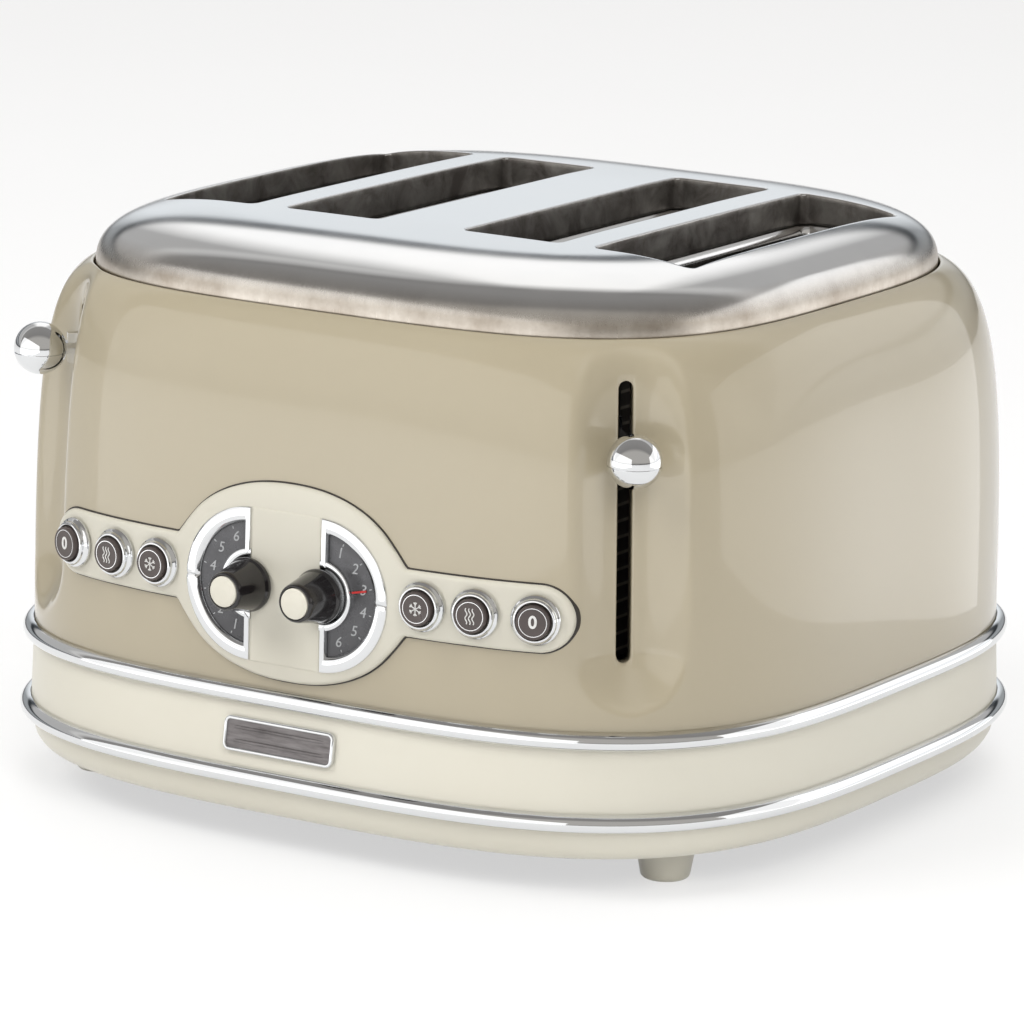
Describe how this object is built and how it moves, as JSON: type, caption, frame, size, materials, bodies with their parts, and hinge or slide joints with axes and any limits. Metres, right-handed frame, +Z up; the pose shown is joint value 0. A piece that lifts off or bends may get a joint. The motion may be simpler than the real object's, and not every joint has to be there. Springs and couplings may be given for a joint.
{
  "type": "four-slice toaster",
  "caption": "Rounded countertop toaster with side-by-side bread slots, corner levers, a front panel with dials and push buttons, and crumb trays at the rear.",
  "frame": {"origin": "under the middle of the overall box, on the surface that the feet stand on", "axes": "+Z up, -Y out of the control panel, +X to the right of somebody who faces the panel"},
  "size_m": [0.3204, 0.3176, 0.2071],
  "materials": {
    "shell_paint": "gloss",
    "stainless": "satin brushed",
    "bright_metal": "polished",
    "cream_plastic": "semi-gloss",
    "dark_plastic": "matt",
    "black_plastic": "gloss",
    "sheet_steel": "plain mill",
    "insulating_board": "matt",
    "green_board": "satin",
    "magnet_coil": "lacquered"
  },
  "bodies": {
    "toaster": {"body_shell": "shell_paint", "top_plate": "stainless", "badge_plate": "stainless", "base_skirt": "cream_plastic", "control_panel": "cream_plastic", "foot_front_right": "cream_plastic", "foot_rear_right": "cream_plastic", "foot_front_left": "cream_plastic", "foot_rear_left": "cream_plastic", "upper_bead": "bright_metal", "lower_bead": "bright_metal", "dial_frame_right": "bright_metal", "dial_frame_left": "bright_metal", "bottom_cover": "dark_plastic", "dial_face_right": "dark_plastic", "dial_face_left": "dark_plastic", "cord_gland": "black_plastic", "button_bezel_right_1": "bright_metal", "heater_board_right_1": "insulating_board", "button_bezel_right_2": "bright_metal", "heater_board_right_2": "insulating_board", "button_bezel_right_3": "bright_metal", "heater_board_right_3": "insulating_board", "guide_rod_right": "sheet_steel", "return_spring_right": "sheet_steel", "electromagnet_right": "magnet_coil", "button_bezel_left_1": "bright_metal", "heater_board_left_1": "insulating_board", "button_bezel_left_2": "bright_metal", "heater_board_left_2": "insulating_board", "button_bezel_left_3": "bright_metal", "heater_board_left_3": "insulating_board", "guide_rod_left": "sheet_steel", "return_spring_left": "sheet_steel", "electromagnet_left": "magnet_coil", "chassis_front": "sheet_steel", "chassis_rear": "sheet_steel", "circuit_board": "green_board"},
    "lever_right": {"lever_ball_right": "bright_metal", "lever_arm_right": "bright_metal", "carriage_right": "sheet_steel", "bread_rack_right_1": "sheet_steel", "bread_rack_right_2": "sheet_steel"},
    "lever_left": {"lever_ball_left": "bright_metal", "lever_arm_left": "bright_metal", "carriage_left": "sheet_steel", "bread_rack_left_1": "sheet_steel", "bread_rack_left_2": "sheet_steel"},
    "dial_right": {"knob_right": "black_plastic", "knob_cap_right": "cream_plastic"},
    "dial_left": {"knob_left": "black_plastic", "knob_cap_left": "cream_plastic"},
    "key_right_1": {"button_right_1": "dark_plastic"},
    "key_right_2": {"button_right_2": "dark_plastic"},
    "key_right_3": {"button_right_3": "dark_plastic"},
    "key_left_1": {"button_left_1": "dark_plastic"},
    "key_left_2": {"button_left_2": "dark_plastic"},
    "key_left_3": {"button_left_3": "dark_plastic"},
    "tray_right": {"crumb_tray_right": "sheet_steel"},
    "tray_left": {"crumb_tray_left": "sheet_steel"}
  },
  "joints": [
    {"name": "lever_slide_right", "type": "slide", "parent": "toaster", "child": "lever_right", "axis": [0, 0, 1], "range_m": [-0.0633, 0.017], "stiffness_N_per_m": 80, "springref_m": 0.03, "deforming": ["return_spring_right"]},
    {"name": "lever_slide_left", "type": "slide", "parent": "toaster", "child": "lever_left", "axis": [0, 0, 1], "range_m": [-0.0719, 0.0084], "stiffness_N_per_m": 80, "springref_m": 0.03, "deforming": ["return_spring_left"]},
    {"name": "dial_turn_right", "type": "hinge", "parent": "toaster", "child": "dial_right", "pos_m": [0.0144, -0.14293, 0.0932], "axis": [0.0027, -0.9999, 0.0108], "range_deg": [-86, 58]},
    {"name": "dial_turn_left", "type": "hinge", "parent": "toaster", "child": "dial_left", "pos_m": [-0.0144, -0.14293, 0.0932], "axis": [-0.0027, -0.9999, 0.0108], "range_deg": [-86, 58]},
    {"name": "key_press_right_1", "type": "slide", "parent": "toaster", "child": "key_right_1", "axis": [-0.0705, 0.9974, -0.0118], "range_m": [0, 0.002], "stiffness_N_per_m": 300, "springref_m": -0.001},
    {"name": "key_press_right_2", "type": "slide", "parent": "toaster", "child": "key_right_2", "axis": [-0.1551, 0.9878, -0.0124], "range_m": [0, 0.002], "stiffness_N_per_m": 300, "springref_m": -0.001},
    {"name": "key_press_right_3", "type": "slide", "parent": "toaster", "child": "key_right_3", "axis": [-0.2996, 0.954, -0.0135], "range_m": [0, 0.002], "stiffness_N_per_m": 300, "springref_m": -0.001},
    {"name": "key_press_left_1", "type": "slide", "parent": "toaster", "child": "key_left_1", "axis": [0.0705, 0.9974, -0.0118], "range_m": [0, 0.002], "stiffness_N_per_m": 300, "springref_m": -0.001},
    {"name": "key_press_left_2", "type": "slide", "parent": "toaster", "child": "key_left_2", "axis": [0.1551, 0.9878, -0.0124], "range_m": [0, 0.002], "stiffness_N_per_m": 300, "springref_m": -0.001},
    {"name": "key_press_left_3", "type": "slide", "parent": "toaster", "child": "key_left_3", "axis": [0.2996, 0.954, -0.0135], "range_m": [0, 0.002], "stiffness_N_per_m": 300, "springref_m": -0.001},
    {"name": "tray_pull_right", "type": "slide", "parent": "toaster", "child": "tray_right", "axis": [0, 1, 0], "range_m": [0, 0.15]},
    {"name": "tray_pull_left", "type": "slide", "parent": "toaster", "child": "tray_left", "axis": [0, 1, 0], "range_m": [0, 0.15]}
  ]
}
